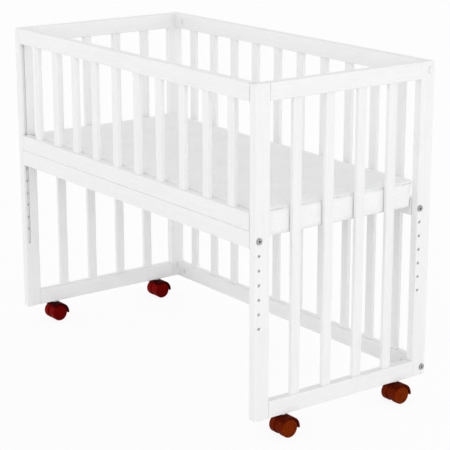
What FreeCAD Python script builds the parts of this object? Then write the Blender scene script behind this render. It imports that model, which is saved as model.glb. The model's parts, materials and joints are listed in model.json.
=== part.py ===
import FreeCAD, Part
import math
import os

os.makedirs("parts", exist_ok=True)

# A wooden bedside crib in millimetres. X runs along the crib, Y from the parents' side (front, -Y) to the
# back, Z up. The origin is on the floor under the middle of the crib.

# ---------------------------------------------------------------- frame
crib_length = 960.0  # over the outer faces of the two end panels
crib_depth = 478.0  # front face to back face
post_height = 706.0
caster_height = 50.0  # floor to the foot of the posts
timber_thickness = 20.0  # of every post and rail
post_width = 37.0
rail_height = 37.0
edge_round = 2.0

# ---------------------------------------------------------------- slats of the barred panels
slat_width = 23.0
slat_thickness = 10.0
slat_round = 2.0
end_slat_count = 4
long_slat_count = 10
long_slat_margin = 58.0  # post to first slat on the two long sides
mortise_depth = 12.0
glue_gap = 0.1  # round a slat or dowel in its hole
mortise_end_gap = 0.5  # past the end of a slat or dowel

# ---------------------------------------------------------------- height adjustment
hole_count = 7
hole_pitch = 30.9
top_hole_height = 387.0  # above the foot of the posts
bolt_hole_radius = 3.5
groove_width = 8.0
groove_depth = 6.0
groove_end_height = 165.0  # above the foot of the posts

# ---------------------------------------------------------------- base under the mattress
base_end_gap = 0.3  # rail end to post
cleat_width = 15.0
cleat_height = 9.0
cleat_end_inset = 48.0  # rail end to cleat end, clear of the barrel nut
base_slat_count = 9
base_slat_width = 60.0
base_slat_thickness = 8.0
base_slat_margin = 22.0  # cleat end to first slat
base_slat_end_gap = 1.0
base_slat_round = 1.5

# ---------------------------------------------------------------- guard
guard_rest_gap = 0.2
guard_end_gap = 1.0  # rail end to post
peg_radius = 3.7
peg_reach = 5.0  # out of the rail end, into the groove
peg_hold = 18.0  # inside the rail

# ---------------------------------------------------------------- mattress
mattress_side_gap = 1.0  # to the base rails
mattress_end_gap = 2.0  # to the slats of the end panels
mattress_rest_gap = 0.3
mattress_height = 60.5  # at its edge
mattress_crown = 3.0  # rise of the middle above the edge
mattress_crown_reach = 0.8  # of the half width, where the top turns flat
crown_steps = 3
mattress_front_corner = 35.0  # squeezed round by the front posts
mattress_rear_corner = 4.0
mattress_draw = 1.5  # how far a side is drawn in between its corners
mattress_top_round = 9.0
top_round_steps = 4
mattress_bottom_round = 3.0
bottom_round_steps = 2
cover_thickness = 3.0

# ---------------------------------------------------------------- fasteners
bolt_radius = 3.0
bolt_reach = 42.0  # shank beyond the inner face of the post
bolt_head_radius = 7.0
bolt_head_height = 2.0
bolt_head_round = 0.8
bolt_head_gap = 0.1
socket_across_flats = 4.0
socket_depth = 3.0
nut_radius = 5.0
nut_length = 14.0
nut_distance = 33.0  # from the rail end
nut_depth = 16.5  # of its hole, from the rail's inner face
thread_gap = 0.05
cap_radius = 7.9
cap_wall = 1.1
cap_round = 1.1
cap_gap = 0.1
dowel_radius = 4.0
dowel_hold = 15.0  # in each of the two pieces it joins
dowel_spread = 9.0  # from the middle of an end rail
back_dowel_radius = 3.0
back_dowel_drop = 11.0  # from the middle of a back rail
cleat_screw_count = 4
cleat_screw_margin = 40.0
screw_radius = 1.75
screw_head_radius = 3.5
screw_head_height = 2.2
cleat_screw_length = 28.0
slat_screw_length = 14.0
screw_gap = 0.05
hexagon_sides = 6

# ---------------------------------------------------------------- casters
caster_inset = 81.0  # front or back face to the swivel axis
caster_trail = 2.6  # swivel axis to wheel axle
wheel_radius = 20.0
wheel_width = 17.0
wheel_outer_round = 2.5
wheel_inner_round = 1.0
wheel_dish_radius = 14.0
wheel_dish_depth = 0.8
wheel_hub_radius = 5.0
wheel_side_gap = 0.4  # wheel to web
web_thickness = 13.0
web_radius = 17.5
hood_inner_radius = 21.5
hood_outer_radius = 26.0
hood_overhang = 1.0  # past the outer face of a wheel
hood_round = 1.2
hood_start = -5.0  # degrees from +Y
hood_end = 128.0
axle_radius = 2.5
axle_hold = 10.0  # inside each wheel
axle_end_gap = 1.0
stem_radius = 4.0
stem_low_gap = 5.5  # axle to the foot of the stem
stem_rise = 27.0  # above the foot of the posts
running_gap = 0.05
press_gap = 0.02
sleeve_wall = 1.5
sleeve_length = 30.0
sleeve_flange_radius = 8.5
sleeve_flange_height = 1.5

# ---------------------------------------------------------------- how the shapes are cut
cut_over = 1.0  # a cutting tool's length past the face that it enters
same_place = 0.01  # edges nearer than this to a plane lie in it

# ---------------------------------------------------------------- what follows from them
half_length = crib_length / 2
half_depth = crib_depth / 2
post_inner_x = half_length - timber_thickness
post_inner_y = half_depth - post_width
end_panel_x = half_length - timber_thickness / 2  # middle plane of an end panel
post_foot = caster_height
post_top = post_foot + post_height
bottom_rail_top = post_foot + rail_height
top_rail_bottom = post_top - rail_height
front_rail_y = -half_depth + timber_thickness / 2  # middle plane of the guard and the base's front rail
back_rail_y = half_depth - timber_thickness / 2  # middle plane of the back panel
rear_base_rail_y = back_rail_y - timber_thickness  # the base's rear rail lies against the back panel
base_middle = post_foot + top_hole_height  # middle height of the base rails
base_top = base_middle + rail_height / 2
base_bottom = base_middle - rail_height / 2
slat_bed_bottom = base_bottom + cleat_height
slat_bed_top = slat_bed_bottom + base_slat_thickness
guard_bottom = base_top + guard_rest_gap

left_and_right = {-1: "left", 1: "right"}
front_and_rear = {-1: "front", 1: "rear"}

axis_x = FreeCAD.Vector(1, 0, 0)
axis_y = FreeCAD.Vector(0, 1, 0)
axis_z = FreeCAD.Vector(0, 0, 1)


# ---------------------------------------------------------------- helpers
def point(x, y, z):
    return FreeCAD.Vector(x, y, z)


def block(xs, ys, zs):
    """A plain box between two values on each axis, given in either order."""
    low = point(min(xs), min(ys), min(zs))
    return Part.makeBox(max(xs) - low.x, max(ys) - low.y, max(zs) - low.z, low)


def bar(xs, ys, zs, along, radius):
    """A box whose four edges along one axis are rounded."""
    shape = block(xs, ys, zs)
    leans = [edge.tangentAt(edge.FirstParameter).cross(along).Length for edge in shape.Edges]
    long_edges = [edge for edge, lean in zip(shape.Edges, leans) if lean < same_place]
    return shape.makeFillet(radius, long_edges)


def rod(start, end, radius):
    """A round rod from one point to another."""
    line = end.sub(start)
    return Part.makeCylinder(radius, line.Length, start, line)


def rim_at(shape, x):
    """The round edges of a shape that lie in one plane across X."""
    flat = [edge for edge in shape.Edges if edge.BoundBox.XLength < same_place]
    return [edge for edge in flat if abs(edge.BoundBox.XMin - x) < same_place]


def about(middle, size):
    """The two ends of a length centred on a value."""
    return (middle - size / 2, middle + size / 2)


def spread(count, first, last):
    """Evenly spaced values from first to last."""
    return [first + (last - first) * i / (count - 1) for i in range(count)]


def turned(shape, axis_point, axis, degrees):
    """A copy of a shape turned about an axis."""
    copy = shape.copy()
    copy.rotate(axis_point, axis, degrees)
    return copy


nodes = {}


def keep(name, shapes):
    """Store one solid, or a group of like solids, under a node's name."""
    nodes[name] = shapes


# ---------------------------------------------------------------- slats in their mortises
def upright_slat(x, y, width_along, low, high, margin=0.0):
    """A slat or, with a margin, the hole it goes in; its wide face runs along X or Y."""
    wide = about(0, slat_width + 2 * margin)
    thin = about(0, slat_thickness + 2 * margin)
    along_x, along_y = (wide, thin) if width_along == axis_x else (thin, wide)
    xs = (x + along_x[0], x + along_x[1])
    ys = (y + along_y[0], y + along_y[1])
    return bar(xs, ys, (low, high), axis_z, slat_round + margin)


def barred_panel(places, width_along, rails, shoulders):
    """Cut the mortises of a row of slats into a low and a high rail; return the rails and the slats."""
    low_rail, high_rail = rails
    low_shoulder, high_shoulder = shoulders
    low_seat = low_shoulder - mortise_depth
    low_mouth = low_shoulder + cut_over
    high_seat = high_shoulder + mortise_depth
    high_mouth = high_shoulder - cut_over
    slats = []
    for x, y in places:
        slats.append(upright_slat(x, y, width_along, low_seat + mortise_end_gap, high_seat - mortise_end_gap))
        low_rail = low_rail.cut(upright_slat(x, y, width_along, low_seat, low_mouth, glue_gap))
        high_rail = high_rail.cut(upright_slat(x, y, width_along, high_mouth, high_seat, glue_gap))
    return low_rail, high_rail, slats


# ---------------------------------------------------------------- fasteners
def connector_bolt(side, y, z):
    """A flat-headed bolt with a hexagon socket that enters an end panel from outside."""
    seat = side * (half_length + bolt_head_gap)
    face = seat + side * bolt_head_height
    head = rod(point(seat, y, z), point(face, y, z), bolt_head_radius)
    head = head.makeFillet(bolt_head_round, rim_at(head, face))
    shank = rod(point(seat, y, z), point(side * (post_inner_x - bolt_reach), y, z), bolt_radius)
    corner = socket_across_flats / math.sqrt(3)
    angles = [2 * math.pi * i / hexagon_sides for i in range(hexagon_sides + 1)]
    hexagon = [point(face, y + corner * math.cos(a), z + corner * math.sin(a)) for a in angles]
    socket = Part.Face(Part.makePolygon(hexagon)).extrude(point(-side * socket_depth, 0, 0))
    return head.fuse(shank).cut(socket)


def bolt_hole(side, y, z, radius=bolt_hole_radius):
    """The hole of a connector bolt through a post and into the end of a rail."""
    mouth = point(side * (half_length + cut_over), y, z)
    return rod(mouth, point(side * (post_inner_x - bolt_reach - cut_over), y, z), radius)


def nut_axis(side, y, z, inner):
    """The ends of a barrel nut's hole, from the rail's inner face into its thickness."""
    x = side * (post_inner_x - nut_distance)
    face = y + inner * timber_thickness / 2
    return point(x, face, z), point(x, face - inner * nut_depth, z)


def barrel_nut(side, y, z, inner):
    """A cross dowel with its threaded hole along the bolt; inner is the side of the rail it enters from."""
    seat = nut_axis(side, y, z, inner)[1]
    end = seat.add(point(0, inner * nut_length, 0))
    return rod(seat, end, nut_radius).cut(bolt_hole(side, y, z, bolt_radius + thread_gap))


def nut_hole(side, y, z, inner):
    """The round pocket that takes a barrel nut."""
    mouth, seat = nut_axis(side, y, z, inner)
    return rod(mouth.add(point(0, inner * cut_over, 0)), seat, nut_radius + glue_gap)


def wood_screw(tip, head_face, radius_margin=0.0, length_margin=0.0):
    """A countersunk screw, or its pilot hole with margins; the head is flush with head_face."""
    line = tip.sub(head_face)
    direction = line.normalize()
    tip = tip.add(direction * length_margin)
    shank = rod(head_face, tip, screw_radius + radius_margin)
    wide = screw_head_radius + radius_margin
    head = Part.makeCone(wide, screw_radius + radius_margin, screw_head_height, head_face, direction)
    return shank.fuse(head)


# ---------------------------------------------------------------- end panels
def post(side, row):
    """One corner post with its adjusting holes."""
    xs = (side * post_inner_x, side * half_length)
    ys = (row * post_inner_y, row * half_depth)
    shape = block(xs, ys, (post_foot, post_top))
    shape = shape.makeFillet(edge_round, shape.Edges)
    hole_y = front_rail_y if row < 0 else rear_base_rail_y
    for i in range(hole_count):
        shape = shape.cut(bolt_hole(side, hole_y, base_middle - i * hole_pitch))
    if row < 0:
        shape = shape.cut(guard_groove(side))
    return shape


def guard_groove(side):
    """The groove in a front post that guides the guard's pegs, open at the top."""
    xs = (side * (post_inner_x - cut_over), side * (post_inner_x + groove_depth))
    end = post_foot + groove_end_height + groove_width / 2
    straight = block(xs, about(front_rail_y, groove_width), (end, post_top + cut_over))
    round_end = rod(point(xs[0], front_rail_y, end), point(xs[1], front_rail_y, end), groove_width / 2)
    return straight.fuse(round_end)


def end_dowel_lines(side):
    """Start and end of every dowel that joins an end panel's rails to its posts."""
    lines = []
    for row in front_and_rear:
        for middle in (post_foot + rail_height / 2, post_top - rail_height / 2):
            for z in (middle - dowel_spread, middle + dowel_spread):
                joint = row * post_inner_y
                lines.append(
                    (
                        point(side * end_panel_x, joint - row * dowel_hold, z),
                        point(side * end_panel_x, joint + row * dowel_hold, z),
                    )
                )
    return lines


def back_dowel_lines(side):
    """Start and end of the dowel beside each bolt of the back panel."""
    lines = []
    for middle in (post_foot + rail_height / 2, post_top - rail_height / 2):
        z = middle - back_dowel_drop
        inside = side * (post_inner_x - dowel_hold)
        outside = side * (post_inner_x + dowel_hold)
        lines.append((point(inside, back_rail_y, z), point(outside, back_rail_y, z)))
    return lines


def dowel_hole(line, radius):
    """The hole of a dowel, a little wider and longer than the dowel."""
    start, end = line
    spare = end.sub(start).normalize() * mortise_end_gap
    return rod(start.sub(spare), end.add(spare), radius + glue_gap)


def drilled(shape, holes):
    """A shape with every hole in a list cut out of it."""
    for hole in holes:
        shape = shape.cut(hole)
    return shape


def back_bolt_heights():
    """Middle heights of the two back rails, where the bolts enter them."""
    return (post_foot + rail_height / 2, post_top - rail_height / 2)


def make_end_panel(side):
    """Two posts, two rails, four slats; returns the dowels that join them."""
    end = left_and_right[side]
    end_lines = end_dowel_lines(side)
    back_lines = back_dowel_lines(side)
    end_holes = [dowel_hole(line, dowel_radius) for line in end_lines]
    back_holes = [dowel_hole(line, back_dowel_radius) for line in back_lines]
    keep(f"post_front_{end}", [drilled(post(side, -1), end_holes)])
    rear_holes = end_holes + back_holes + [bolt_hole(side, back_rail_y, z) for z in back_bolt_heights()]
    keep(f"post_rear_{end}", [drilled(post(side, 1), rear_holes)])

    xs = (side * post_inner_x, side * half_length)
    ys = (-post_inner_y, post_inner_y)
    low_rail = bar(xs, ys, (post_foot, bottom_rail_top), axis_y, edge_round)
    high_rail = bar(xs, ys, (top_rail_bottom, post_top), axis_y, edge_round)
    gap = (2 * post_inner_y - end_slat_count * slat_width) / (end_slat_count + 1)
    first = -post_inner_y + gap + slat_width / 2
    places = [(side * end_panel_x, y) for y in spread(end_slat_count, first, -first)]
    shoulders = (bottom_rail_top, top_rail_bottom)
    low_rail, high_rail, slats = barred_panel(places, axis_y, (low_rail, high_rail), shoulders)
    low_rail = drilled(low_rail, end_holes + [sleeve_hole(side, row) for row in front_and_rear])
    keep(f"end_rail_bottom_{end}", [low_rail])
    keep(f"end_rail_top_{end}", [drilled(high_rail, end_holes)])
    for i, slat in enumerate(slats):
        keep(f"end_slat_{end}_{i + 1}", [slat])

    dowels = [rod(start, stop, dowel_radius) for start, stop in end_lines]
    return dowels + [rod(start, stop, back_dowel_radius) for start, stop in back_lines]


# ---------------------------------------------------------------- back panel
def long_places(y):
    """Where the slats of a long side stand."""
    first = -post_inner_x + long_slat_margin + slat_width / 2
    return [(x, y) for x in spread(long_slat_count, first, -first)]


def make_back_panel():
    """The barred panel bolted between the rear posts."""
    xs = (-post_inner_x, post_inner_x)
    ys = about(back_rail_y, timber_thickness)
    low_rail = bar(xs, ys, (post_foot, bottom_rail_top), axis_x, edge_round)
    high_rail = bar(xs, ys, (top_rail_bottom, post_top), axis_x, edge_round)
    places = long_places(back_rail_y)
    shoulders = (bottom_rail_top, top_rail_bottom)
    low_rail, high_rail, slats = barred_panel(places, axis_x, (low_rail, high_rail), shoulders)
    holes = []
    bolts = []
    nuts = []
    caps = []
    for side in left_and_right:
        holes += [dowel_hole(line, back_dowel_radius) for line in back_dowel_lines(side)]
        for z in back_bolt_heights():
            holes += [bolt_hole(side, back_rail_y, z), nut_hole(side, back_rail_y, z, -1)]
            bolts.append(connector_bolt(side, back_rail_y, z))
            nuts.append(barrel_nut(side, back_rail_y, z, -1))
        caps.append(bolt_cap(side, back_rail_y, back_bolt_heights()[1]))
    keep("back_rail_bottom", [drilled(low_rail, holes)])
    keep("back_rail_top", [drilled(high_rail, holes)])
    keep("back_slats", slats)
    keep("back_bolts", bolts)
    keep("back_barrel_nuts", nuts)
    keep("bolt_caps", caps)


def bolt_cap(side, y, z):
    """The white cap pushed over the upper bolt head."""
    seat = side * (half_length + bolt_head_gap)
    inner_face = seat + side * (bolt_head_height + cap_gap)
    outer_face = inner_face + side * cap_wall
    shell = rod(point(seat, y, z), point(outer_face, y, z), cap_radius)
    shell = shell.makeFillet(cap_round, rim_at(shell, outer_face))
    return shell.cut(rod(point(seat, y, z), point(inner_face, y, z), bolt_head_radius + cap_gap))


# ---------------------------------------------------------------- base
def base_rail(y, inner):
    """A long rail of the base with its bolt holes and barrel nut pockets, and its bolts and nuts."""
    reach = post_inner_x - base_end_gap
    rail = bar((-reach, reach), about(y, timber_thickness), (base_bottom, base_top), axis_x, edge_round)
    bolts = []
    nuts = []
    for side in left_and_right:
        rail = drilled(rail, [bolt_hole(side, y, base_middle), nut_hole(side, y, base_middle, inner)])
        bolts.append(connector_bolt(side, y, base_middle))
        nuts.append(barrel_nut(side, y, base_middle, inner))
    return rail, bolts, nuts


def cleat_screw_lines(y, inner):
    """Tip and head of each screw that holds a cleat to the inner face of its rail."""
    reach = post_inner_x - base_end_gap - cleat_end_inset - cleat_screw_margin
    face = y + inner * timber_thickness / 2
    head = face + inner * cleat_width
    z = base_bottom + cleat_height / 2
    xs = spread(cleat_screw_count, -reach, reach)
    return [(point(x, head - inner * cleat_screw_length, z), point(x, head, z)) for x in xs]


def base_slat_middles():
    """Where the slats of the bed stand along X."""
    reach = post_inner_x - base_end_gap - cleat_end_inset - base_slat_margin - base_slat_width / 2
    return spread(base_slat_count, -reach, reach)


def slat_screw_lines(y, inner):
    """Tip and head of each screw that holds a bed slat down on a cleat."""
    screw_y = y + inner * (timber_thickness + cleat_width) / 2
    return [
        (point(x, screw_y, slat_bed_top - slat_screw_length), point(x, screw_y, slat_bed_top))
        for x in base_slat_middles()
    ]


def make_base():
    """Two bolted rails, a cleat on each, and the bed slats screwed across."""
    rails = {"front": (front_rail_y, 1), "rear": (rear_base_rail_y, -1)}
    slats = bed_slats()
    bolts = []
    nuts = []
    cleat_screws = []
    slat_screws = []
    for row, (y, inner) in rails.items():
        rail, rail_bolts, rail_nuts = base_rail(y, inner)
        bolts += rail_bolts
        nuts += rail_nuts
        face = y + inner * timber_thickness / 2
        reach = post_inner_x - base_end_gap - cleat_end_inset
        cleat = block((-reach, reach), (face, face + inner * cleat_width), (base_bottom, slat_bed_bottom))
        side_lines = cleat_screw_lines(y, inner)
        down_lines = slat_screw_lines(y, inner)
        side_holes = [wood_screw(tip, head, screw_gap, mortise_end_gap) for tip, head in side_lines]
        down_holes = [wood_screw(tip, head, screw_gap, mortise_end_gap) for tip, head in down_lines]
        cleat_screws += [wood_screw(tip, head) for tip, head in side_lines]
        slat_screws += [wood_screw(tip, head) for tip, head in down_lines]
        slats = [drilled(slat, [hole]) for slat, hole in zip(slats, down_holes)]
        keep(f"base_rail_{row}", [drilled(rail, side_holes)])
        keep(f"base_cleat_{row}", [drilled(cleat, side_holes + down_holes)])
    keep("base_slats", slats)
    keep("base_bolts", bolts)
    keep("base_barrel_nuts", nuts)
    keep("cleat_screws", cleat_screws)
    keep("slat_screws", slat_screws)


def bed_slats():
    """The flat slats between the base rails, lying on the cleats."""
    ys = (
        front_rail_y + timber_thickness / 2 + base_slat_end_gap,
        rear_base_rail_y - timber_thickness / 2 - base_slat_end_gap,
    )
    zs = (slat_bed_bottom, slat_bed_top)
    return [bar(about(x, base_slat_width), ys, zs, axis_y, base_slat_round) for x in base_slat_middles()]


# ---------------------------------------------------------------- guard
def make_guard():
    """The barred guard that slides down into the front posts and rests on the base."""
    reach = post_inner_x - guard_end_gap
    ys = about(front_rail_y, timber_thickness)
    rail_low_top = guard_bottom + rail_height
    low_rail = bar((-reach, reach), ys, (guard_bottom, rail_low_top), axis_x, edge_round)
    high_rail = bar((-reach, reach), ys, (top_rail_bottom, post_top), axis_x, edge_round)
    places = long_places(front_rail_y)
    shoulders = (rail_low_top, top_rail_bottom)
    low_rail, high_rail, slats = barred_panel(places, axis_x, (low_rail, high_rail), shoulders)
    pegs = []
    holes = []
    for side in left_and_right:
        for z in (guard_bottom + rail_height / 2, post_top - rail_height / 2):
            start = point(side * (reach - peg_hold), front_rail_y, z)
            end = point(side * (post_inner_x + peg_reach), front_rail_y, z)
            pegs.append(rod(start, end, peg_radius))
            holes.append(rod(start.sub(point(side * mortise_end_gap, 0, 0)), end, peg_radius + glue_gap))
    keep("guard_rail_bottom", [drilled(low_rail, holes)])
    keep("guard_rail_top", [drilled(high_rail, holes)])
    keep("guard_slats", slats)
    keep("guard_pegs", pegs)


# ---------------------------------------------------------------- mattress
def corner_points(sx, sy, half_x, half_y, middle_y, z):
    """Where a round corner of the mattress leaves its end and its long side, and its middle between them."""
    corner = mattress_front_corner if sy < 0 else mattress_rear_corner
    bend = corner * (1 - math.sqrt(0.5))
    on_end = point(sx * half_x, middle_y + sy * (half_y - corner), z)
    on_side = point(sx * (half_x - corner), middle_y + sy * half_y, z)
    return on_end, point(sx * (half_x - bend), middle_y + sy * (half_y - bend), z), on_side


def mattress_outline(half_x, half_y, middle_y, z):
    """A closed outline with round corners and sides drawn in between them."""
    size = (half_x, half_y, middle_y, z)
    rear_right = corner_points(1, 1, *size)
    rear_left = corner_points(-1, 1, *size)
    front_left = corner_points(-1, -1, *size)
    front_right = corner_points(1, -1, *size)
    rear = point(0, middle_y + half_y - mattress_draw, z)
    left = point(mattress_draw - half_x, middle_y, z)
    front = point(0, middle_y - half_y + mattress_draw, z)
    right = point(half_x - mattress_draw, middle_y, z)
    arcs = [
        rear_right,
        (rear_right[2], rear, rear_left[2]),
        rear_left[::-1],
        (rear_left[0], left, front_left[0]),
        front_left,
        (front_left[2], front, front_right[2]),
        front_right[::-1],
        (front_right[0], right, rear_right[0]),
    ]
    return Part.Wire([Part.Arc(*points).toShape() for points in arcs])


def mattress_sections(half_y, bottom, top):
    """Inset and height of each outline: the lower round, the upper round, then the crown."""
    sections = []
    for angle in spread(bottom_round_steps + 1, 0, math.pi / 2):
        inset = mattress_bottom_round * (1 - math.sin(angle))
        sections.append((inset, bottom + mattress_bottom_round * (1 - math.cos(angle))))
    for angle in spread(top_round_steps + 1, 0, math.pi / 2):
        inset = mattress_top_round * (1 - math.cos(angle))
        sections.append((inset, top - mattress_top_round * (1 - math.sin(angle))))
    for i in range(1, crown_steps + 1):
        share = mattress_crown_reach * i / crown_steps
        rise = mattress_crown * (1 - (1 - share) ** 2)
        sections.append((mattress_top_round + (half_y - mattress_top_round) * share, top + rise))
    return sections


def make_mattress():
    """A foam core in a soft cover with rounded edges and a low crown."""
    half_x = end_panel_x - slat_thickness / 2 - mattress_end_gap
    front = front_rail_y + timber_thickness / 2 + mattress_side_gap
    rear = rear_base_rail_y - timber_thickness / 2 - mattress_side_gap
    half_y = (rear - front) / 2
    middle_y = (rear + front) / 2
    bottom = slat_bed_top + mattress_rest_gap
    top = bottom + mattress_height
    wires = []
    for inset, z in mattress_sections(half_y, bottom, top):
        wires.append(mattress_outline(half_x - inset, half_y - inset, middle_y, z))
    cover = Part.makeLoft(wires, True, True)
    skin = cover_thickness + mattress_draw
    core = bar(
        (skin - half_x, half_x - skin),
        (front + skin, rear - skin),
        (bottom + cover_thickness, top - cover_thickness),
        axis_z,
        mattress_front_corner,
    )
    keep("mattress_cover", [cover.cut(core)])
    keep("mattress_core", [core])


# ---------------------------------------------------------------- casters
def caster_place(side, row):
    """The swivel axis of a caster on the floor plan."""
    return side * end_panel_x, row * (half_depth - caster_inset)


def sleeve_hole(side, row):
    """The hole in an end rail that takes a caster's sleeve."""
    x, y = caster_place(side, row)
    top = post_foot + sleeve_length + mortise_end_gap
    return rod(point(x, y, post_foot - cut_over), point(x, y, top), stem_radius + running_gap + sleeve_wall)


def caster_sleeve(side, row):
    """The flanged sleeve that a caster's stem turns in."""
    x, y = caster_place(side, row)
    foot = post_foot - sleeve_flange_height
    outer_radius = stem_radius + running_gap + sleeve_wall
    tube = rod(point(x, y, foot), point(x, y, post_foot + sleeve_length), outer_radius)
    flange = rod(point(x, y, foot), point(x, y, post_foot), sleeve_flange_radius)
    bore_top = post_foot + sleeve_length + cut_over
    bore = rod(point(x, y, foot - cut_over), point(x, y, bore_top), stem_radius + running_gap)
    return tube.fuse(flange).cut(bore)


def arc_point(x, centre_y, centre_z, radius, degrees):
    """A point on a circle about the wheel axle."""
    angle = math.radians(degrees)
    return point(x, centre_y + radius * math.cos(angle), centre_z + radius * math.sin(angle))


def ring_sector(xs, centre_y, centre_z, inner, outer):
    """The hood's part of a ring about the wheel axle, or of a disc where inner is 0."""
    low_x = min(xs)
    angles = (hood_start, (hood_start + hood_end) / 2, hood_end)
    outer_points = [arc_point(low_x, centre_y, centre_z, outer, a) for a in angles]
    inner_points = [arc_point(low_x, centre_y, centre_z, inner, a) for a in reversed(angles)]
    edges = [Part.Arc(*outer_points).toShape(), Part.makeLine(outer_points[2], inner_points[0])]
    if inner > 0:
        edges.append(Part.Arc(*inner_points).toShape())
    edges.append(Part.makeLine(inner_points[2], outer_points[0]))
    return Part.Face(Part.Wire(edges)).extrude(point(max(xs) - low_x, 0, 0))


def caster_housing(x, y):
    """The hood over both wheels with the web between them that holds the axle and the stem."""
    axle_y = y + caster_trail
    axle_z = wheel_radius
    hood_half = web_thickness / 2 + wheel_side_gap + wheel_width + hood_overhang
    hood = ring_sector(about(x, 2 * hood_half), axle_y, axle_z, hood_inner_radius, hood_outer_radius)
    arcs = [edge for edge in hood.Edges if type(edge.Curve).__name__ == "Circle"]
    outer_rims = [edge for edge in arcs if abs(edge.Curve.Radius - hood_outer_radius) < same_place]
    hood = hood.makeFillet(hood_round, outer_rims)
    web_xs = about(x, web_thickness)
    joined_radius = (hood_inner_radius + hood_outer_radius) / 2
    sector = ring_sector(web_xs, axle_y, axle_z, 0.0, joined_radius)
    hub_start = point(web_xs[0], axle_y, axle_z)
    hub_end = point(web_xs[1], axle_y, axle_z)
    hub = rod(hub_start, hub_end, web_radius)
    housing = hood.fuse([sector, hub]).removeSplitter()
    stem_foot = axle_z + axle_radius + stem_low_gap
    stem_hole = rod(point(x, y, stem_foot), point(x, y, post_foot), stem_radius + press_gap)
    axle_hole = rod(hub_start, hub_end, axle_radius + press_gap)
    return housing.cut(stem_hole).cut(axle_hole)


def caster_wheel(x, y, side):
    """One of the twin wheels: rounded tread, shallow dish with a hub, blind bore from the inner face."""
    axle_y = y + caster_trail
    axle_z = wheel_radius
    inner_x = x + web_thickness / 2 + wheel_side_gap
    outer_x = inner_x + wheel_width

    def disc(start_x, end_x, radius):
        return rod(point(start_x, axle_y, axle_z), point(end_x, axle_y, axle_z), radius)

    wheel = disc(inner_x, outer_x, wheel_radius)
    wheel = wheel.makeFillet(wheel_outer_round, rim_at(wheel, outer_x))
    wheel = wheel.makeFillet(wheel_inner_round, rim_at(wheel, inner_x))
    dish = disc(outer_x - wheel_dish_depth, outer_x + cut_over, wheel_dish_radius)
    dish = dish.cut(disc(outer_x - wheel_dish_depth, outer_x + cut_over, wheel_hub_radius))
    bore_end = x + web_thickness / 2 + axle_hold + axle_end_gap
    wheel = wheel.cut(dish).cut(disc(inner_x - cut_over, bore_end, axle_radius + running_gap))
    return wheel if side > 0 else turned(wheel, point(x, axle_y, axle_z), axis_z, 180)


def make_caster(side, row):
    """Housing, stem, axle and two wheels of one caster."""
    x, y = caster_place(side, row)
    place = f"{front_and_rear[row]}_{left_and_right[side]}"
    axle_y = y + caster_trail
    axle_z = wheel_radius
    axle_half = web_thickness / 2 + axle_hold
    stem_foot = axle_z + axle_radius + stem_low_gap
    keep(f"caster_housing_{place}", [caster_housing(x, y)])
    stem = rod(point(x, y, stem_foot), point(x, y, post_foot + stem_rise), stem_radius)
    keep(f"caster_stem_{place}", [stem])
    axle = rod(point(x - axle_half, axle_y, axle_z), point(x + axle_half, axle_y, axle_z), axle_radius)
    keep(f"caster_axle_{place}", [axle])
    keep(f"caster_wheel_outer_{place}", [caster_wheel(x, y, side)])
    keep(f"caster_wheel_inner_{place}", [caster_wheel(x, y, -side)])


# ---------------------------------------------------------------- the crib
panel_dowels = []
sleeves = []
for side in left_and_right:
    panel_dowels += make_end_panel(side)
    for row in front_and_rear:
        sleeves.append(caster_sleeve(side, row))
        make_caster(side, row)
keep("panel_dowels", panel_dowels)
keep("caster_sleeves", sleeves)
make_back_panel()
make_base()
make_guard()
make_mattress()

for name, shapes in nodes.items():
    shape = shapes[0] if len(shapes) == 1 else Part.makeCompound(shapes)
    if not shape.isValid():
        print("not valid:", name)
    shape.exportStep(f"parts/{name}.step")

whole = Part.makeCompound([shape for shapes in nodes.values() for shape in shapes])
box = whole.BoundBox
print(len(nodes), "nodes,", len(whole.Solids), "solids")
print(f"X {box.XMin:.2f} {box.XMax:.2f}  Y {box.YMin:.2f} {box.YMax:.2f}  Z {box.ZMin:.2f} {box.ZMax:.2f}")
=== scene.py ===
# %% [markdown]
# # A wooden bedside crib in Blender
#
# The crib's timber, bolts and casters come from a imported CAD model. They stay where they are, and this
# lesson gives them their finish, makes the mattress, and lights and frames the whole as a catalogue
# photograph does. Every length is in metres. X runs along the crib, Y from the parents' side to the back
# panel, Z up.

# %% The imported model
import math

import bpy
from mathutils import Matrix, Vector, noise
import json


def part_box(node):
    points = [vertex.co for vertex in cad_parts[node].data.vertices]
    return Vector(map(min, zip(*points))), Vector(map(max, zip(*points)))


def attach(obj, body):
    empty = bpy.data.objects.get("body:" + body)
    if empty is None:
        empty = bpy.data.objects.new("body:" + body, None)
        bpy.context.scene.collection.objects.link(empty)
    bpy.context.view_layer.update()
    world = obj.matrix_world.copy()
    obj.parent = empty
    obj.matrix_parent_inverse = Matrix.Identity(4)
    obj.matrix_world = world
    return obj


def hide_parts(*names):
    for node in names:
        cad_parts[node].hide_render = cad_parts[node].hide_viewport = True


X, Y, Z = range(3)

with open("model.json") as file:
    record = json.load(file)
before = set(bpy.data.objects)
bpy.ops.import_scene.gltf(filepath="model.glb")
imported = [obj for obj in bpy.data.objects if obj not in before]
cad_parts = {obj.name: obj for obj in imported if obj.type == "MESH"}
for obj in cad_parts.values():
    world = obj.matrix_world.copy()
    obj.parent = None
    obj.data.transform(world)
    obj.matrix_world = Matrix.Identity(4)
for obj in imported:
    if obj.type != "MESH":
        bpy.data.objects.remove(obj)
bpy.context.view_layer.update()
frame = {"nodes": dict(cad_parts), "record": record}
nodes = frame["nodes"]
slot_of = {part["node"]: part["material_slot"] for part in frame["record"]["subparts"]}

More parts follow.
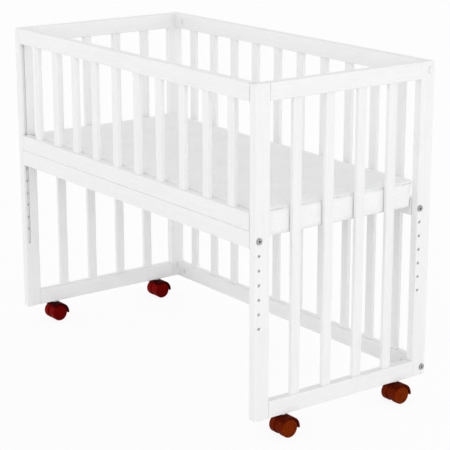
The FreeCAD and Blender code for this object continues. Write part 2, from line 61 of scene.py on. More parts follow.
# %% [markdown]
# ## Shader sums as plain Python
#
# A finish is mostly arithmetic on a few patterns. Each sum could be a Math node placed by hand, which gets
# long and hard to read. So a small class holds one socket, and its operators add the Math nodes:
# `1 - mask * 0.3` then reads as it works. Every other node comes from one method.

# %% A socket that can be added and multiplied
class Value:
    def __init__(self, shader, socket):
        self.shader = shader
        self.socket = socket

    def math(self, operation, *terms):
        return self.shader.node("ShaderNodeMath", {"operation": operation}, dict(enumerate(terms)))

    def __add__(self, other):
        return self.math("ADD", self, other)

    def __radd__(self, other):
        return self.math("ADD", other, self)

    def __sub__(self, other):
        return self.math("SUBTRACT", self, other)

    def __rsub__(self, other):
        return self.math("SUBTRACT", other, self)

    def __mul__(self, other):
        return self.math("MULTIPLY", self, other)

    def __rmul__(self, other):
        return self.math("MULTIPLY", other, self)

    def __abs__(self):
        return self.math("ABSOLUTE", self)


# %% A material under construction
class Shader:
    def __init__(self, owner):
        """Start an empty node tree on a material or on the world."""
        self.owner = owner
        owner.use_nodes = True
        self.tree = owner.node_tree
        self.tree.nodes.clear()

    def node(self, kind, settings=None, sockets=None, output=0):
        """Add a node: its settings first, then a value or a link for each named socket."""
        made = self.tree.nodes.new(kind)
        for name, setting in (settings or {}).items():
            setattr(made, name, setting)
        for name, value in (sockets or {}).items():
            socket = made.inputs[name]
            if isinstance(value, Value):
                self.tree.links.new(value.socket, socket)
            else:
                socket.default_value = value
        if made.outputs:
            return Value(self, made.outputs[output])

    def place(self, scale=(1, 1, 1)):
        """The point on the object, in metres, stretched along each axis."""
        point = self.node("ShaderNodeTexCoord", output="Object")
        return self.node("ShaderNodeMapping", {}, {"Vector": point, "Scale": scale})

    def along(self, axis):
        """One coordinate of the point on the object."""
        return self.split(self.place(), axis)

    def split(self, point, axis):
        """One coordinate of a point or a direction."""
        return self.node("ShaderNodeSeparateXYZ", {}, {"Vector": point}, output=axis)

    def noise(self, point, scale, detail=2.0, distortion=0.0):
        sockets = {"Vector": point, "Scale": scale, "Detail": detail, "Distortion": distortion}
        return self.node("ShaderNodeTexNoise", {}, sockets)

    def spread(self, value, low, high, new_low=0.0, new_high=1.0):
        """Stretch a value's range from low and high to the new ones, and stop there."""
        ends = {"From Min": low, "From Max": high, "To Min": new_low, "To Max": new_high}
        return self.node("ShaderNodeMapRange", {"clamp": True}, {"Value": value, **ends})

    def mix(self, factor, first, second):
        sockets = {0: factor, 6: first, 7: second}
        return self.node("ShaderNodeMix", {"data_type": "RGBA"}, sockets, output=2)

    def bump(self, height, strength, distance):
        sockets = {"Height": height, "Strength": strength, "Distance": distance}
        return self.node("ShaderNodeBump", {}, sockets)

    def finish(self, **sockets):
        """The surface itself: one Principled BSDF on the output."""
        named = {name.replace("_", " "): value for name, value in sockets.items()}
        surface = self.node("ShaderNodeBsdfPrincipled", {}, named)
        self.node("ShaderNodeOutputMaterial", {}, {"Surface": surface})
        print("Finish:", self.owner.name)
        return self.owner


def new_shader(name):
    return Shader(bpy.data.materials.new(name))


def grey(level):
    """A neutral colour, in linear light."""
    return (level, level, level, 1.0)


MILD = (0.3, 0.7)  # a noise seldom leaves this range, so stretching it shows soft patches
FIRM = (0.36, 0.64)  # stretching this one shows clearer lights and darks


# %% [markdown]
# ## White lacquer over wood
#
# The timber is sprayed white, satin, and thin enough that the grain can still be felt: fine long ridges
# along each piece, and a slight unevenness in the gloss. A plain white would look like plastic. One
# function makes the lacquer for a grain along X, Y or Z by stretching the same noise along that axis,
# because a rail's grain follows its length and a slat's stands up. A noise's scale is in cells per metre.

# %% Lacquer with its grain along one axis
LACQUER_WHITE = 0.885
LACQUER_SHADE = 0.835
LACQUER_GLOSS = 0.12
LACQUER_ROUGHNESS = (0.34, 0.48)
GRAIN_STRETCH = 0.045  # a ridge is about twenty times as long as it is wide
FINE_GRAIN = 900.0
BROAD_GRAIN = 130.0
LACQUER_CLOUD = 14.0
SPRAY_SPECKLE = 1400.0
GRAIN_HEIGHT = 0.00025


def lacquer(axis):
    shader = new_shader(f"white_lacquer_{'xyz'[axis]}")
    scale = [1.0, 1.0, 1.0]
    scale[axis] = GRAIN_STRETCH
    stretched = shader.place(scale)
    fine = shader.noise(stretched, FINE_GRAIN, detail=3.0, distortion=0.4)
    broad = shader.noise(stretched, BROAD_GRAIN, detail=2.0, distortion=1.2)
    cloud = shader.noise(shader.place(), LACQUER_CLOUD, detail=3.0)
    spray = shader.noise(shader.place(), SPRAY_SPECKLE, detail=1.0)
    grain = shader.spread(fine * 0.6 + broad * 0.4, *FIRM)
    tone = shader.spread(grain * 0.55 + cloud * 0.45, 0.2, 0.8)
    return shader.finish(
        Base_Color=shader.mix(tone, grey(LACQUER_SHADE), grey(LACQUER_WHITE)),
        Roughness=shader.spread(cloud * 0.6 + fine * 0.4, 0.35, 0.65, *LACQUER_ROUGHNESS),
        Normal=shader.bump(grain * 0.8 + spray * 0.2, strength=0.35, distance=GRAIN_HEIGHT),
        Specular_IOR_Level=LACQUER_GLOSS,
    )


lacquers = [lacquer(axis) for axis in (X, Y, Z)]

# %% [markdown]
# ## Bare beech dowels and pegs
#
# The dowels in the joints and the pegs that guide the lifting side are turned beech, left unpainted. Beech
# is pale and even, with short dark flecks along the grain. The pegs, which show when the side is lifted,
# lie along X, and the dowels are hidden, so one material with its grain along X does for all.

# %% Turned beech
BEECH_PALE = (0.66, 0.46, 0.29, 1.0)
BEECH_DEEP = (0.52, 0.33, 0.19, 1.0)
BEECH_FLECK = (0.30, 0.17, 0.09, 1.0)
BEECH_BANDS = 260.0
BEECH_FLECKS = 1500.0
BEECH_HEIGHT = 0.0002
BEECH_ROUGHNESS = (0.5, 0.68)
BAND_STRETCH = (0.06, 1.0, 1.0)
FLECK_STRETCH = (0.25, 1.0, 1.0)


def beech():
    shader = new_shader("bare_beech")
    bands = shader.noise(shader.place(BAND_STRETCH), BEECH_BANDS, detail=2.0, distortion=0.8)
    flecks = shader.noise(shader.place(FLECK_STRETCH), BEECH_FLECKS, detail=2.0)
    wood = shader.mix(shader.spread(bands, 0.4, 0.62), BEECH_PALE, BEECH_DEEP)
    on_fleck = shader.spread(flecks, 0.6, 0.72, 0.0, 0.6)
    return shader.finish(
        Base_Color=shader.mix(on_fleck, wood, BEECH_FLECK),
        Roughness=shader.spread(flecks, *MILD, *BEECH_ROUGHNESS),
        Normal=shader.bump(flecks * 0.6 + bands * 0.4, strength=0.3, distance=BEECH_HEIGHT),
    )


dowel_wood = beech()

# %% [markdown]
# ## Steel bolts and white plastic caps
#
# The bolt heads are zinc-plated, dull, with a soft gloss. All bolts lie along X, so how far a point is from
# the middle of the crib tells how deep it is in a head: the hexagon socket and the rim against the post
# get little light, and a painted shade makes them darker. The caps and the caster sleeves are matt white
# mouldings with a faint mottle.

# %% Zinc-plated steel
HEAD_SEAT = 0.478  # a little under a head's seat on the post, from the middle of the crib
SEAT_BLEND = 0.001
HEAD_FACE = 0.4819  # just under a head's outer face
FACE_BLEND = 0.0012
ZINC_DARK = 0.34
ZINC_BRIGHT = 0.50
# the grey of the painted shade in a head's socket and rim
HEAD_PAINTED_SHADE = 0.07
PLATING_MOTTLE = 700.0
PLATING_CLOUD = 90.0
PLATING_HEIGHT = 0.0001
PLATING_ROUGHNESS = (0.28, 0.45)


def zinc():
    shader = new_shader("zinc_plated_steel")
    mottle = shader.noise(shader.place(), PLATING_MOTTLE, detail=3.0)
    cloud = shader.noise(shader.place(), PLATING_CLOUD, detail=2.0)
    tone = shader.spread(mottle * 0.5 + cloud * 0.5, 0.35, 0.65)
    reach = abs(shader.along(X))
    under_face = shader.spread(reach, HEAD_FACE - FACE_BLEND, HEAD_FACE, 1.0, 0.0)
    # the socket and the rim against the post get a painted shade
    recessed = shader.spread(reach, HEAD_SEAT - SEAT_BLEND, HEAD_SEAT) * under_face
    plated = shader.mix(tone, grey(ZINC_DARK), grey(ZINC_BRIGHT))
    return shader.finish(
        Base_Color=shader.mix(recessed * 0.9, plated, grey(HEAD_PAINTED_SHADE)),
        Metallic=1.0,
        Roughness=shader.spread(cloud, *MILD, *PLATING_ROUGHNESS),
        Normal=shader.bump(mottle, strength=0.2, distance=PLATING_HEIGHT),
    )


steel = zinc()

# %% White plastic
CAP_SHADE = 0.82
CAP_WHITE = 0.87
CAP_MOTTLE = 1100.0
CAP_CLOUD = 120.0
CAP_HEIGHT = 0.0001
CAP_ROUGHNESS = (0.40, 0.52)


def white_plastic():
    shader = new_shader("white_plastic")
    mottle = shader.noise(shader.place(), CAP_MOTTLE, detail=2.0)
    cloud = shader.noise(shader.place(), CAP_CLOUD, detail=2.0)
    return shader.finish(
        Base_Color=shader.mix(shader.spread(cloud, *MILD), grey(CAP_SHADE), grey(CAP_WHITE)),
        Roughness=shader.spread(mottle, *MILD, *CAP_ROUGHNESS),
        Normal=shader.bump(mottle, strength=0.15, distance=CAP_HEIGHT),
    )


cap_plastic = white_plastic()

# %% [markdown]
# ## Coloured caster plastic
#
# The casters are moulded in a dark, dull plastic: reddish brown at one end of the crib and maroon at the
# other. The hood is the darkest. The tread and the flat face of a wheel have a shade each, which is painted
# light and shade for how each side faces the light, and a slight flow pattern and a fine texture keep the
# colour from looking like paint. The faces lie in planes across X and the web hides between the wheels, so
# the distance from the middle plane of a caster says which of them a point is on.

# %% What all caster mouldings share
CASTER_PLANE = 0.470  # the middle plane of a caster, from the middle of the crib
PLASTIC_GLOSS = 0.01
FLOW_LINES = 120.0
FLOW_STRETCH = (1.0, 1.0, 0.4)
MOULD_TEXTURE = 1600.0
TEXTURE_HEIGHT = 0.00012
FLOW_DARK = 0.28  # how far towards black the flow pattern takes the colour


def moulded(shader, colour, roughness):
    """The finish that every caster piece shares, over its own colour."""
    flow = shader.noise(shader.place(FLOW_STRETCH), FLOW_LINES, detail=3.0, distortion=1.0)
    texture = shader.noise(shader.place(), MOULD_TEXTURE, detail=2.0)
    return shader.finish(
        Base_Color=shader.mix(shader.spread(flow, *MILD, FLOW_DARK, 0.0), colour, grey(0.0)),
        Roughness=shader.spread(texture, *MILD, *roughness),
        Normal=shader.bump(texture, strength=0.2, distance=TEXTURE_HEIGHT),
        Specular_IOR_Level=PLASTIC_GLOSS,
    )


def from_plane(shader):
    """How far a point is from the middle plane of its caster."""
    return abs(abs(shader.along(X)) - CASTER_PLANE)


# %% A wheel's plastic and a hood's
TREAD_END = 0.0218  # where a wheel's tread turns into its face, from the caster's plane
FACE_START = 0.0228  # and where its flat face starts
WEB_HALF = 0.0066  # half the thickness of the hood's web between the wheels, with room
WEB_BLEND = 0.0002
AXLE_SHIFT = 0.0026  # the wheel axles lie this far behind their swivels
SWIVEL_REACH = 0.158  # from the middle of the crib to a swivel, along Y
WEB_REACH = 0.0200  # the web's radius, with room
WEB_TOP = 0.0385  # above the floor, where the web goes up into the hood
EDGE_BLEND = 0.001
WHEEL_ROUGHNESS = (0.37, 0.50)
HOOD_ROUGHNESS = (0.31, 0.44)


def wheel_plastic(name, tread, face):
    shader = new_shader(name)
    # a tread and a face get their own colour: painted light or shade for how each side faces the light
    on_face = shader.spread(from_plane(shader), TREAD_END, FACE_START)
    return moulded(shader, shader.mix(on_face, tread, face), WHEEL_ROUGHNESS)


def hood_plastic(name, hood, web):
    shader = new_shader(name)
    from_axle = abs(abs(shader.along(Y) - AXLE_SHIFT) - SWIVEL_REACH)
    beside_axle = shader.spread(from_axle, WEB_REACH, WEB_REACH + EDGE_BLEND, 1.0, 0.0)
    between_wheels = shader.spread(from_plane(shader), WEB_HALF, WEB_HALF + WEB_BLEND, 1.0, 0.0)
    under_hood = shader.spread(shader.along(Z), WEB_TOP, WEB_TOP + EDGE_BLEND, 1.0, 0.0)
    on_web = beside_axle * between_wheels * under_hood
    return moulded(shader, shader.mix(on_web, hood, web), HOOD_ROUGHNESS)


# %% Brown casters and maroon ones
# each tread and face colour is the plastic with painted light or shade: at the brown end the face is lit
# and the tread shaded, at the maroon end the tread is lit and the face shaded
BROWN_TREAD_PAINTED_SHADE = (0.150, 0.0125, 0.0010, 1.0)
BROWN_FACE_PAINTED_LIGHT = (0.192, 0.0215, 0.0010, 1.0)
BROWN_HOOD = (0.085, 0.0060, 0.0016, 1.0)
MAROON_TREAD_PAINTED_LIGHT = (0.225, 0.0032, 0.0020, 1.0)
MAROON_FACE_PAINTED_SHADE = (0.148, 0.0016, 0.0010, 1.0)
MAROON_HOOD = (0.046, 0.0018, 0.0016, 1.0)

plastics = {
    "housing_plastic_right": hood_plastic("brown_hood", BROWN_HOOD, BROWN_TREAD_PAINTED_SHADE),
    "wheel_plastic_right": wheel_plastic("brown_wheel", BROWN_TREAD_PAINTED_SHADE, BROWN_FACE_PAINTED_LIGHT),
    "housing_plastic_left": hood_plastic("maroon_hood", MAROON_HOOD, MAROON_TREAD_PAINTED_LIGHT),
    "wheel_plastic_left": wheel_plastic("maroon_wheel", MAROON_TREAD_PAINTED_LIGHT, MAROON_FACE_PAINTED_SHADE),
}

# %% [markdown]
# ## Finishes on the model's own parts
#
# The slot that the record gives each node says its finish. Wood also needs the direction of its grain, and
# that is the longest side of the node's box, or of one slat where a node holds a row of them. The ends of
# the barrel nuts show on the rails' inner faces, where they are painted over with the rail.

# %% Which finish each node gets
GRAIN_BY_NAME = {"back_slats": Z, "guard_slats": Z, "base_slats": Y}
PAINTED_NUTS = ("back_barrel_nuts", "base_barrel_nuts")

finishes = {
    "bare_wood": dowel_wood,
    "zinc_steel": steel,
    "white_plastic": cap_plastic,
    **plastics,
}


def grain_axis(name):
    if name in GRAIN_BY_NAME:
        return GRAIN_BY_NAME[name]
    low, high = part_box(name)
    size = high - low
    return max((X, Y, Z), key=lambda axis: size[axis])


def finish_for(name):
    slot = slot_of[name]
    if slot == "white_lacquer" or name in PAINTED_NUTS:
        return lacquers[grain_axis(name)]
    return finishes.get(slot, cap_plastic)  # the mattress's own nodes are replaced further on


for name, piece in nodes.items():
    piece.data.materials.clear()
    piece.data.materials.append(finish_for(name))

print("Finishes on", len(nodes), "nodes of the model")

# %% [markdown]
# ## The mattress
#
# The real mattress is a foam slab in a sewn cover: a top sheet and a bottom sheet, each joined to a side
# band by a seam that runs all round. Air and padding push the cloth out between the seams, so it is a
# crowned closed form, not a block. A cube gets its round corners and edges by bevels, is divided evenly by
# a voxel remesh, and then Blender's own Cloth blows it up a little while the upper seam and the underside
# are held. The cloth may swell out by no more than a limit, so in front and on top the slab starts that far
# inside the model's cover.

# %% How large the slab is
SWELL_LIMIT = 0.0015
END_GAP = 0.0003  # from the slab to the model's cover, at its ends and its back
TOP_SHEET = ((0.0045, 0.0044), (0.0055, 0.0017), (0.0090, 0.0008))  # how far in and up, step by step

cover_low, cover_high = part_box("mattress_cover")
slab_low = cover_low + Vector((END_GAP, SWELL_LIMIT, 0.0))
slab_high = cover_high - Vector((END_GAP, END_GAP, SWELL_LIMIT))
upper_seam = slab_high.z - sum(up for inward, up in TOP_SHEET)
print("The upper seam runs", round((upper_seam - slab_low.z) * 1000, 1), "mm above the underside")

# %% Ways to select edges by their place
SAME_PLACE = 0.0001


def near(a, b):
    return abs(a - b) < SAME_PLACE


def upright_at(y):
    return lambda a, b: near(a.x, b.x) and near(a.y, b.y) and near(a.y, y)


def level_at(z):
    return lambda a, b: near(a.z, b.z) and near(a.z, z)


def within(z, reach):
    return lambda a, b: abs(a.z - z) < reach and abs(b.z - z) < reach


def pick_edges(piece, wanted):
    """Select, in edit mode, the edges whose two ends pass the test."""
    mesh = piece.data
    bpy.ops.object.mode_set(mode="OBJECT")
    for element in [*mesh.polygons, *mesh.vertices]:
        element.select = False
    for edge in mesh.edges:
        edge.select = wanted(*[mesh.vertices[index].co for index in edge.vertices])
    bpy.ops.object.mode_set(mode="EDIT")


def pick_only(piece):
    bpy.ops.object.select_all(action="DESELECT")
    piece.select_set(True)
    bpy.context.view_layer.objects.active = piece


# %% A slab with round corners and a raised top sheet
FRONT_CORNER = 0.035
REAR_CORNER = 0.004
BOTTOM_ROUND = 0.0025
VOXEL = 0.0061


def round_off(piece, wanted, radius, segments):
    pick_edges(piece, wanted)
    bpy.ops.mesh.bevel(offset=radius, segments=segments)


def make_slab():
    bpy.ops.object.select_all(action="DESELECT")
    bpy.ops.mesh.primitive_cube_add(size=1.0)
    slab = bpy.context.object
    side_high = Vector((slab_high.x, slab_high.y, upper_seam))
    slab.scale = side_high - slab_low
    slab.location = (slab_low + side_high) / 2
    bpy.ops.object.transform_apply(location=True, rotation=True, scale=True)
    bpy.ops.object.mode_set(mode="EDIT")
    bpy.ops.mesh.select_mode(type="EDGE")
    round_off(slab, upright_at(slab_low.y), FRONT_CORNER, 8)
    round_off(slab, upright_at(slab_high.y), REAR_CORNER, 4)
    round_off(slab, level_at(slab_low.z), BOTTOM_ROUND, 3)
    pick_edges(slab, level_at(upper_seam))
    bpy.ops.mesh.select_mode(type="FACE")
    for inward, up in TOP_SHEET:
        bpy.ops.mesh.inset(thickness=inward, depth=up)
    bpy.ops.object.mode_set(mode="OBJECT")
    remesh = slab.modifiers.new("even", "REMESH")
    remesh.mode = "VOXEL"
    remesh.voxel_size = VOXEL
    bpy.ops.object.modifier_apply(modifier=remesh.name)
    return slab


mattress = make_slab()
mattress.name = "mattress"
print("The slab has", len(mattress.data.vertices), "points")

# %% Blown up between its seam and its underside
SEAM_RISE = 0.0025  # of the lower seam above the underside
HELD_BAND = 0.0032  # points this near the upper seam are held
PRESSURE = 4.0
TENSION = 12.0
BENDING = 0.6
SWELL_FRAMES = 20

lower_seam = slab_low.z + SEAM_RISE


def hold_seams(piece):
    """A group of the points that the cloth keeps still: the upper seam and the underside."""
    held = piece.vertex_groups.new(name="held")
    for vertex in piece.data.vertices:
        at_seam = abs(vertex.co.z - upper_seam) < HELD_BAND
        if at_seam or vertex.co.z < lower_seam:
            held.add([vertex.index], 1.0, "REPLACE")
    return held.name


def swell(piece):
    """Blow the cover up with Cloth, keep no point further than the limit from its place, and apply it."""
    start = [vertex.co.copy() for vertex in piece.data.vertices]
    cloth = piece.modifiers.new("swell", "CLOTH")
    cloth.settings.use_pressure = True
    cloth.settings.uniform_pressure_force = PRESSURE
    cloth.settings.effector_weights.gravity = 0.0
    cloth.settings.vertex_group_mass = hold_seams(piece)
    cloth.settings.tension_stiffness = TENSION
    cloth.settings.bending_stiffness = BENDING
    for frame_number in range(1, SWELL_FRAMES + 1):
        bpy.context.scene.frame_set(frame_number)
    bpy.context.view_layer.objects.active = piece
    bpy.ops.object.modifier_apply(modifier=cloth.name)
    bpy.context.scene.frame_set(1)
    piece.vertex_groups.clear()
    furthest = 0.0
    for vertex, place in zip(piece.data.vertices, start):
        move = vertex.co - place
        furthest = max(furthest, move.length)
        if move.length > SWELL_LIMIT:
            vertex.co = place + move * (SWELL_LIMIT / move.length)
    return furthest


furthest = swell(mattress)
print("The cover swelled by up to", round(furthest * 1000, 1), "mm and keeps", SWELL_LIMIT * 1000)

# %% One subdivision, then a finer band where the upper seam runs
SEAM_BAND = 0.0045

smooth = mattress.modifiers.new("smooth", "SUBSURF")
smooth.levels = 1
smooth.render_levels = 1
pick_only(mattress)
bpy.ops.object.modifier_apply(modifier=smooth.name)
pick_edges(mattress, within(upper_seam, SEAM_BAND))
bpy.ops.mesh.subdivide(number_cuts=1)
bpy.ops.object.mode_set(mode="OBJECT")
print("The finer mattress has", len(mattress.data.vertices), "points")

# %% [markdown]
# ## Pressed against the rails
#
# The mattress fills its frame, so its shape shows what it meets. Along the lifting side the top sheet is
# pressed upright against the rail, and at the back it swells out over the base rail, up to the rear posts.
# Both are moves of points near those sides: the first draws the rounded edge out to the rail, the second
# pushes the back out where nothing holds it. Each move fades in softly with the height.

# %% Draw the front edge out and let the back swell
EDGE_REACH = 0.016  # how far from the side the moves still work
FRONT_DRAW = 0.85
FRONT_START = 0.010  # the draw starts this far under the upper seam
REAR_SWELL = 0.0032
REAR_START = 0.001  # the swell starts this far above the base rail
FADE_HEIGHT = 0.008
RAIL_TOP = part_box("base_rail_rear")[1].z


def ease(share):
    """A soft step from 0 to 1."""
    share = min(max(share, 0.0), 1.0)
    return share * share * (3.0 - 2.0 * share)


def press(piece):
    for vertex in piece.data.vertices:
        place = vertex.co
        from_front = place.y - cover_low.y
        if from_front < EDGE_REACH:
            height = ease((place.z - upper_seam + FRONT_START) / FADE_HEIGHT)
            place.y -= FRONT_DRAW * height * from_front * (1.0 - from_front / EDGE_REACH)
        from_rear = slab_high.y - place.y
        if from_rear < EDGE_REACH:
            height = ease((place.z - RAIL_TOP - REAR_START) / FADE_HEIGHT)
            place.y += REAR_SWELL * height * ease(1.0 - from_rear / EDGE_REACH)


press(mattress)
depths = [vertex.co.y for vertex in mattress.data.vertices]
print("From front to back it is now", round((max(depths) - min(depths)) * 1000, 1), "mm")

# %% [markdown]
# ## Seams, puckers and a slightly uneven top
#
# A sewn seam pulls the cloth in along a line, and the thread gathers it a little, so short creases cross
# the seam. These are moves of single points along their normals: a narrow valley that follows the seam,
# creases that fade away from it, and a low swell over the top where the padding is uneven. A seam wanders,
# and it is tighter in some places than in others. Noise is read from the place of the point, so the result
# is the same in every run. A painted shade darkens the seam's valley: how much of it a point gets is kept
# as an attribute of the mesh, which the cloth's material reads. Along the lifting side the rail presses the
# seam flat.

# %% One seam's pull on a point
SEAM_DEPTH = 0.0024
SEAM_WIDTH = 0.0016
SHADE_WIDTH = 0.0026
SEAM_WANDER = 0.0012
WANDER_LENGTH = 0.028
PUCKER_DEPTH = 0.0010
PUCKER_REACH = 0.008
GATHER_LENGTH = 0.007  # from one crease to the next
TIGHTNESS_LENGTH = 0.045
LAYER_STEP = 0.02
WANDER, GATHER, TIGHTNESS = range(3)


def ripple(place, pattern, length):
    """Noise along a seam, from -1 to 1; each pattern is a layer of its own."""
    return noise.noise(Vector((place.x, place.y, pattern * LAYER_STEP)) / length)


def seam_move(place, seam, strength):
    """How far a point near a seam moves in, in metres, and how much painted shade it gets, from 0 to about
    1.
    """
    away = abs(place.z - seam - ripple(place, WANDER, WANDER_LENGTH) * SEAM_WANDER)
    gather = ripple(place, GATHER, GATHER_LENGTH)
    strength *= 0.75 + 0.6 * ripple(place, TIGHTNESS, TIGHTNESS_LENGTH)
    depth = (0.8 + 0.5 * gather) * math.exp(-(away / SEAM_WIDTH) ** 2)
    pucker = PUCKER_DEPTH * max(gather, 0.0) * math.exp(-away / PUCKER_REACH)
    # the painted shade, darkest along the seam's valley
    shade = (0.85 + 0.35 * gather) * math.exp(-(away / SHADE_WIDTH) ** 2)
    return strength * (SEAM_DEPTH * depth + pucker), strength * shade


# %% Seams round the sides, and low lumps on top
LOWER_SEAM_SHARE = 0.25  # the rails hide the lower seam, which pulls less
FLAT_TOP = 0.9  # where the normal points up more than this, no seam pulls
UPWARD = 0.3  # and where it points up more than this, the top's lumps show
LUMP_HEIGHT = 0.0006
LUMPS = ((0.055, 0.6), (0.021, 0.4))  # how long a lump is, and its share of the height

room_high = cover_high + Vector((0.0, REAR_SWELL, 0.0))


def dress(piece):
    normals = [vertex.normal.copy() for vertex in piece.data.vertices]
    # the attribute holds each point's painted seam shade
    shade = piece.data.attributes.new("seam", "FLOAT", "POINT")
    for vertex, normal, mark in zip(piece.data.vertices, normals, shade.data):
        place = vertex.co.copy()
        from_front = (place.y - cover_low.y) / EDGE_REACH
        strength = 1.0 - ease(2.0 - 2.0 * from_front)  # none at the rail, all of it past the reach
        if normal.z < FLAT_TOP:
            upper, upper_shade = seam_move(place, upper_seam, strength)
            lower, lower_shade = seam_move(place, lower_seam, LOWER_SEAM_SHARE * strength)
            vertex.co = place - normal * (upper + lower)
            mark.value = upper_shade + lower_shade
        if normal.z > UPWARD:
            lump = sum(noise.noise(place / length) * share for length, share in LUMPS)
            vertex.co.z += LUMP_HEIGHT * lump
        for axis in (X, Y, Z):
            vertex.co[axis] = min(max(vertex.co[axis], cover_low[axis]), room_high[axis])


dress(mattress)
pick_only(mattress)
bpy.ops.object.shade_smooth()
print("The mattress has", len(mattress.data.polygons), "faces")

# %% [markdown]
# ## A knitted cover
#
# Close up the cover is a fine piqué knit: rows of small bumps under two millimetres apart, pulled slightly
# out of line, over small tufts and soft cloudy patches where the padding shows through. The knit is a sine
# wave along each axis, multiplied in pairs, so the pattern keeps its scale on the top, the sides and the
# ends.

# %% The cloth of the mattress
CLOTH_SHADE = 0.855
CLOTH_WHITE = 0.935
# the grey of the painted shade in a seam's valley
SEAM_PAINTED_SHADE_GREY = 0.45
KNIT_PITCH = 0.0016
KNIT_DRIFT = 2.2  # radians that a row is pulled out of line
DRIFT_CLOUD = 60.0
PADDING_CLOUD = 17.0
TUFTS = 190.0
FUZZ = 900.0
CLOTH_HEIGHT = 0.0006
CLOTH_ROUGHNESS = (0.86, 0.96)
SEAM_SHADE = 0.45  # how far towards the painted shade's grey the deepest seam goes


def knit_cloth():
    shader = new_shader("mattress_knit")
    point = shader.place()
    turn = 2 * math.pi / KNIT_PITCH
    drift = shader.noise(point, DRIFT_CLOUD, detail=2.0) * KNIT_DRIFT
    phases = [shader.split(point, axis) * turn + drift for axis in (X, Y, Z)]
    waves = [phase.math("SINE", phase) for phase in phases]
    knit = waves[X] * waves[Y] + waves[Y] * waves[Z] + waves[Z] * waves[X]
    cloud = shader.noise(point, PADDING_CLOUD, detail=3.0, distortion=0.6)
    tufts = shader.noise(point, TUFTS, detail=3.0, distortion=0.4)
    fuzz = shader.noise(point, FUZZ, detail=3.0)
    tone = shader.spread(cloud * 0.3 + tufts * 0.5 + fuzz * 0.2, *FIRM)
    height = knit * 0.12 + fuzz * 0.4 + tufts * 0.5 + shader.spread(cloud, *MILD) * 0.8
    # the seam attribute mixes a painted shade into the seam's valley
    seam = shader.node("ShaderNodeAttribute", {"attribute_name": "seam"}, output="Fac")
    seam_painted_shade = shader.spread(seam, 0.2, 1.0, 0.0, SEAM_SHADE)
    cloth = shader.mix(tone, grey(CLOTH_SHADE), grey(CLOTH_WHITE))
    return shader.finish(
        Base_Color=shader.mix(seam_painted_shade, cloth, grey(SEAM_PAINTED_SHADE_GREY)),
        Roughness=shader.spread(fuzz, *MILD, *CLOTH_ROUGHNESS),
        Normal=shader.bump(height, strength=0.5, distance=CLOTH_HEIGHT),
        Specular_IOR_Level=0.2,
        Sheen_Weight=0.15,
        Sheen_Roughness=0.5,
    )


mattress.data.materials.clear()
mattress.data.materials.append(knit_cloth())
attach(mattress, "mattress")
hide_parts("mattress_cover", "mattress_core")

# %% [markdown]
# ## Floor and light
#
# The crib stands on a white floor in a white room. Only the camera and reflections see that white: a floor
# that really was so bright would light the crib from below until nothing on it had a shade. So the floor's
# and the room's materials ask Light Path what kind of ray it is. The room lights more from the horizon than
# from overhead, so upright faces come out lighter than the tops of the rails, and one weak soft lamp lifts
# the right end a little above the front.

# %% A floor that is white to the camera and keeps the shadow
FLOOR_HALF = 12.0
FLOOR_PAINT = 0.92
FLOOR_GLOW = 0.90  # the share of pure white in what the camera sees


def seen_ray(shader):
    """1 on a ray from the camera, off a glossy surface or through glass."""
    camera = shader.node("ShaderNodeLightPath", output="Is Camera Ray")
    glossy = shader.node("ShaderNodeLightPath", output="Is Glossy Ray")
    clear = shader.node("ShaderNodeLightPath", output="Is Transmission Ray")
    either = camera.math("MAXIMUM", camera, glossy)
    return either.math("MAXIMUM", either, clear)


floor_shader = new_shader("floor_white")
glowing = seen_ray(floor_shader) * FLOOR_GLOW
floor_paint = floor_shader.node("ShaderNodeBsdfDiffuse", {}, {"Color": grey(FLOOR_PAINT)})
floor_glow = floor_shader.node("ShaderNodeEmission", {}, {"Color": grey(1.0), "Strength": 1.0})
floor_mixed = floor_shader.node("ShaderNodeMixShader", {}, {0: glowing, 1: floor_paint, 2: floor_glow})
floor_shader.node("ShaderNodeOutputMaterial", {}, {"Surface": floor_mixed})

bpy.ops.object.select_all(action="DESELECT")
bpy.ops.mesh.primitive_plane_add(size=2 * FLOOR_HALF, location=(0, 0, 0))
floor = bpy.context.object
floor.name = "floor"
floor.data.materials.append(floor_shader.owner)
print("The floor is", 2 * FLOOR_HALF, "m wide")

# %% The room: white where it is seen, a soft fill where it only lights
WALL_FILL = 1.72  # near the horizon
CEILING_FILL = 0.47  # overhead

world = bpy.data.worlds.new("room")
bpy.context.scene.world = world
room = Shader(world)
direction = room.node("ShaderNodeTexCoord", output="Generated")
room_fill = room.spread(room.split(direction, Z), 0.0, 1.0, WALL_FILL, CEILING_FILL)
seen = seen_ray(room)
room_level = seen + (1.0 - seen) * room_fill
room_light = room.node("ShaderNodeBackground", {}, {"Color": grey(1.0), "Strength": room_level})
room.node("ShaderNodeOutputWorld", {}, {"Surface": room_light})
print("The room lights with", WALL_FILL, "at the horizon and", CEILING_FILL, "overhead")

# %% One soft lamp at the right
LAMP_AZIMUTH = math.radians(80.0)  # from straight in front, towards the right end
LAMP_ELEVATION = math.radians(12.0)
LAMP_DISTANCE = 3.5
LAMP_SIZE = 2.0
LAMP_WATTS = 3.6
CRIB_MIDDLE = Vector((0.0, 0.0, 0.38))

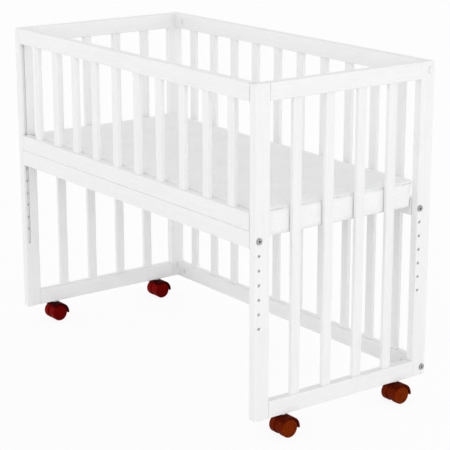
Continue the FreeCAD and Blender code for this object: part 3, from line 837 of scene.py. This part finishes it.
level = math.cos(LAMP_ELEVATION)
to_lamp = Vector((
    math.sin(LAMP_AZIMUTH) * level,
    -math.cos(LAMP_AZIMUTH) * level,
    math.sin(LAMP_ELEVATION),
))
lamp_data = bpy.data.lights.new("right", "AREA")
lamp_data.shape = "SQUARE"
lamp_data.size = LAMP_SIZE
lamp_data.energy = LAMP_WATTS
lamp = bpy.data.objects.new("right", lamp_data)
lamp.location = CRIB_MIDDLE + to_lamp * LAMP_DISTANCE
lamp.rotation_mode = "QUATERNION"
lamp.rotation_quaternion = (-to_lamp).to_track_quat("-Z", "Y")
bpy.context.scene.collection.objects.link(lamp)
print("The lamp stands at", [round(part, 2) for part in lamp.location])

# %% [markdown]
# ## The camera
#
# The camera stands where the photograph's did. Its place, its turn and its lens were fitted to the straight
# edges of the crib, whose lengths are known, so the render can be laid over the photograph. A long lens
# from more than three metres away keeps the upright posts nearly parallel.

# %% The camera, at the photograph's own place
CAMERA_PLACE = (2.850191, -2.057726, 1.297931)
CAMERA_AZIMUTH = 53.64  # degrees, as are the next two
CAMERA_ELEVATION = 15.434
CAMERA_ROLL = 0.06
CAMERA_LENS = 124.56  # mm
CAMERA_SENSOR = 36.0  # mm wide

camera_data = bpy.data.cameras.new("camera")
camera_data.lens = CAMERA_LENS
camera_data.sensor_width = CAMERA_SENSOR
camera = bpy.data.objects.new("camera", camera_data)
camera.location = CAMERA_PLACE
camera.rotation_mode = "XYZ"
camera.rotation_euler = (
    math.radians(90.0 - CAMERA_ELEVATION),
    math.radians(CAMERA_ROLL),
    math.radians(CAMERA_AZIMUTH),
)
bpy.context.scene.collection.objects.link(camera)
bpy.context.scene.camera = camera
bpy.context.scene.view_settings.view_transform = "Standard"
print("The camera is", round((camera.location - CRIB_MIDDLE).length, 2), "m from the crib")

# %% [markdown]
# ## The end
#

# %% The end
import json
